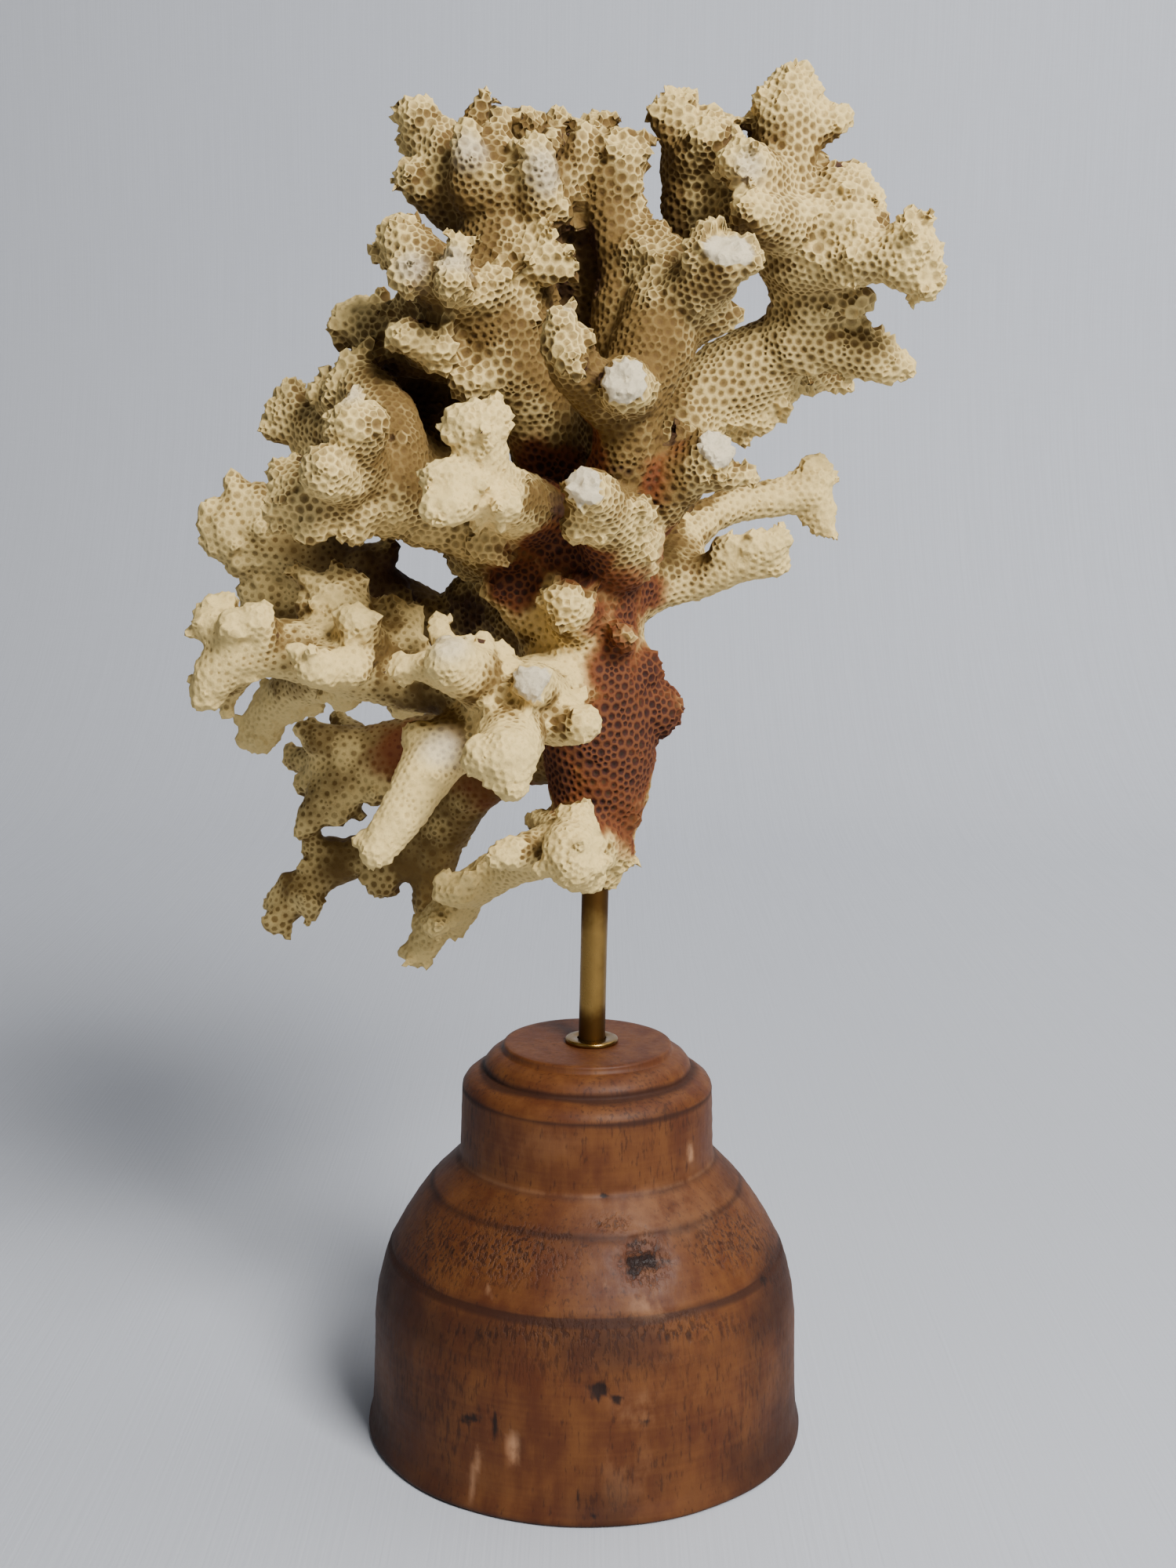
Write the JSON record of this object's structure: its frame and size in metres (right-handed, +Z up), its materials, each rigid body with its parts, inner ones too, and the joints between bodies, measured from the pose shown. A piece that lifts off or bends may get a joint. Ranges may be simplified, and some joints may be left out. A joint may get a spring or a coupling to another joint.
{
  "type": "branching coral on stand",
  "caption": "Branching pocilloporid coral skeleton with stubby knobbed limbs, fixed on a brass rod with a washer in a turned wooden base.",
  "frame": {"origin": "centre of the flat underside of the wooden base", "axes": "+Z straight up the base's turning axis, -Y towards the pictured side, +X to the viewer's right"},
  "size_m": [0.1353, 0.11, 0.2539],
  "materials": {
    "coral": "matt, porous, with a rust-red stain at its core and worn pale tips",
    "wood": "turned, stained brown, satin, scratched",
    "brass": "brushed, dull with patina"
  },
  "bodies": {
    "root": {"coral_trunk": "coral", "coral_centre_limb": "coral", "coral_left_crown_limb": "coral", "coral_mid_left_limb": "coral", "coral_front_centre_limb": "coral", "coral_upper_left_limb": "coral", "coral_rear_left_limb": "coral", "coral_front_left_limb": "coral", "coral_long_left_limb": "coral", "coral_lower_front_limb": "coral", "coral_lower_left_limb": "coral", "coral_lower_rear_limb": "coral", "coral_right_arms": "coral", "coral_right_crown_limb": "coral", "coral_rear_low_limb": "coral", "coral_rear_middle_limb": "coral", "coral_rear_upper_limb": "coral", "wooden_base": "wood", "brass_rod": "brass", "brass_washer": "brass"}
  },
  "joints": []
}
